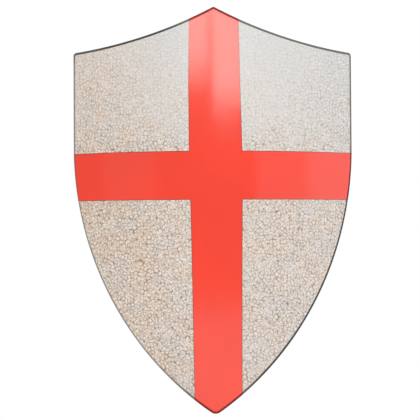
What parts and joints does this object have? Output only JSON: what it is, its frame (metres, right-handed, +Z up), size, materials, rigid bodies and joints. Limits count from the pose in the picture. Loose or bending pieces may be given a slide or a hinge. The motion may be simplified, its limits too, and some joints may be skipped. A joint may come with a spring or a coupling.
{
  "type": "shield",
  "caption": "Heater shield with a bowed steel face, wired edge and painted cross, carried on a buckled forearm strap and a hand grip.",
  "frame": {"origin": "on the back of the face, on its centre line, at the height of the bearer's forearm", "axes": "+Z up towards the peak, +Y from the face towards the bearer, +X to the right of someone who looks at the face"},
  "size_m": [0.508, 0.1127, 0.7113],
  "materials": {
    "cream_enamel": "cream crackle coat with brown and grey veins, half gloss",
    "red_enamel": "smooth gloss red",
    "back_paint": "matt charcoal paint",
    "steel": "bright drawn wire",
    "brass": "polished, a little dulled",
    "leather": "oiled brown leather, paler at the cut edges"
  },
  "bodies": {
    "shield": {"face_plate": "cream_enamel", "painted_cross": "red_enamel", "edge_wire": "steel", "forearm_staple_upper": "back_paint", "forearm_staple_lower": "back_paint", "grip_staple_upper": "back_paint", "grip_staple_lower": "back_paint", "hanger_strip": "back_paint", "forearm_buckle_strap": "leather", "forearm_tongue_strap": "leather", "strap_keeper": "leather", "hand_grip_strap": "leather", "buckle_frame": "brass", "forearm_upper_rivet_left": "brass", "forearm_upper_rivet_right": "brass", "forearm_lower_rivet_left": "brass", "forearm_lower_rivet_right": "brass", "buckle_fold_rivet_left": "brass", "buckle_fold_rivet_right": "brass", "grip_upper_rivet_left": "brass", "grip_upper_rivet_right": "brass", "grip_lower_rivet_left": "brass", "grip_lower_rivet_right": "brass"},
    "ring": {"hanger_ring": "steel"},
    "prong": {"buckle_prong": "brass"},
    "roller": {"buckle_roller": "brass"}
  },
  "joints": [
    {"name": "ring_swing", "type": "hinge", "parent": "shield", "child": "ring", "pos_m": [0, 0.0048, 0.1905], "axis": [1, 0, 0], "range_deg": [0, 170]},
    {"name": "prong_lift", "type": "hinge", "parent": "shield", "child": "prong", "pos_m": [0.09887, 0.09738, -0.0028], "axis": [0.9751, 0.2217, 0], "range_deg": [0, 15]},
    {"name": "roller_spin", "type": "hinge", "parent": "shield", "child": "roller", "pos_m": [0.09887, 0.09738, -0.0342], "axis": [0.9751, 0.2217, 0], "continuous": true}
  ]
}
